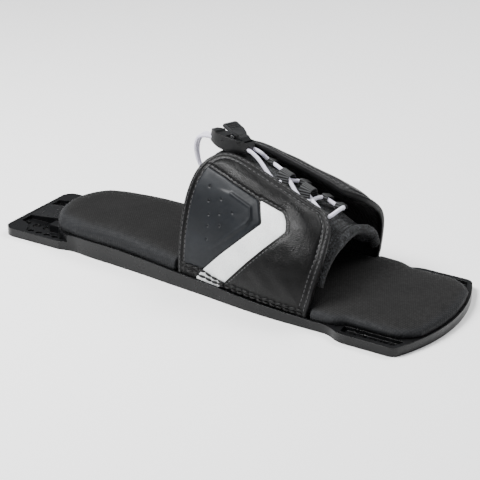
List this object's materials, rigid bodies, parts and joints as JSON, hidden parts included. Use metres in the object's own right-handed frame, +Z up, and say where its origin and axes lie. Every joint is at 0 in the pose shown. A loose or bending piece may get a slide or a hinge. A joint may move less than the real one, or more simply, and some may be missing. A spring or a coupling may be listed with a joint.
{
  "type": "water ski rear toe plate",
  "caption": "Rear-foot water ski binding: moulded mounting plate, foam footbed and one padded leather toe strap drawn tight by a lace through a sliding spring-lever lock.",
  "frame": {"origin": "bottom centre of the plate, on the plane that lies on the ski", "axes": "+X towards the toes, +Y to the left of a standing skier, +Z up from the ski"},
  "size_m": [0.33, 0.1124, 0.1034],
  "materials": {
    "plate_plastic": "satin black moulded nylon",
    "footbed_foam": "dark charcoal closed-cell foam with a fine moulded texture",
    "strap_leather": "glossy grained black leather",
    "lining_fabric": "black padded fabric",
    "binding_leather": "black edge tape, stitched",
    "panel_rubber": "matt blue-grey moulded rubber",
    "chevron_leather": "silver-white fine-grained synthetic leather",
    "bar_aluminium": "plain aluminium",
    "screw_steel": "stainless steel",
    "nut_steel": "stainless steel",
    "webbing": "ribbed black polyester webbing",
    "tongue_fabric": "black knitted mesh over foam",
    "hem_fabric": "black knitted mesh, rolled and stitched",
    "lace_cord": "pale lavender-grey braided polyester",
    "lock_plastic": "black moulded acetal",
    "teeth_steel": "stainless steel",
    "lever_plastic": "black moulded acetal",
    "pin_steel": "stainless steel",
    "spring_steel": "spring steel"
  },
  "bodies": {
    "binding": {"base_plate": "plate_plastic", "footbed": "footbed_foam", "quarter_near": "strap_leather", "quarter_far": "strap_leather", "lining_near": "lining_fabric", "lining_far": "lining_fabric", "edge_binding_near": "binding_leather", "edge_binding_far": "binding_leather", "side_panel_near": "panel_rubber", "side_panel_far": "panel_rubber", "chevron_near": "chevron_leather", "chevron_far": "chevron_leather", "clamp_bar_near": "bar_aluminium", "clamp_bar_far": "bar_aluminium", "clamp_screws_near": "screw_steel", "clamp_screws_far": "screw_steel", "tee_nuts_near": "nut_steel", "tee_nuts_far": "nut_steel", "lace_loops_near": "webbing", "lace_loops_far": "webbing", "instep_pad": "tongue_fabric", "instep_hem": "hem_fabric", "lace_keepers": "webbing", "lace": "lace_cord", "lace_tail": "lace_cord"},
    "lock": {"lock_base": "lock_plastic", "lock_teeth": "teeth_steel", "lock_pin": "pin_steel", "lock_spring": "spring_steel"},
    "lever": {"lock_lever": "lever_plastic"}
  },
  "joints": [
    {"name": "lock_slide", "type": "slide", "parent": "binding", "child": "lock", "axis": [0.9945, -0.0182, -0.1029], "range_m": [-0.002, 0.001]},
    {"name": "lever_press", "type": "hinge", "parent": "lock", "child": "lever", "pos_m": [0.01078, 0.00072, 0.09187], "axis": [0, -0.9848, 0.1736], "range_deg": [0, 20], "stiffness_Nm_per_rad": 0.02, "springref_deg": -5.73, "deforming": ["lock_spring"]}
  ]
}
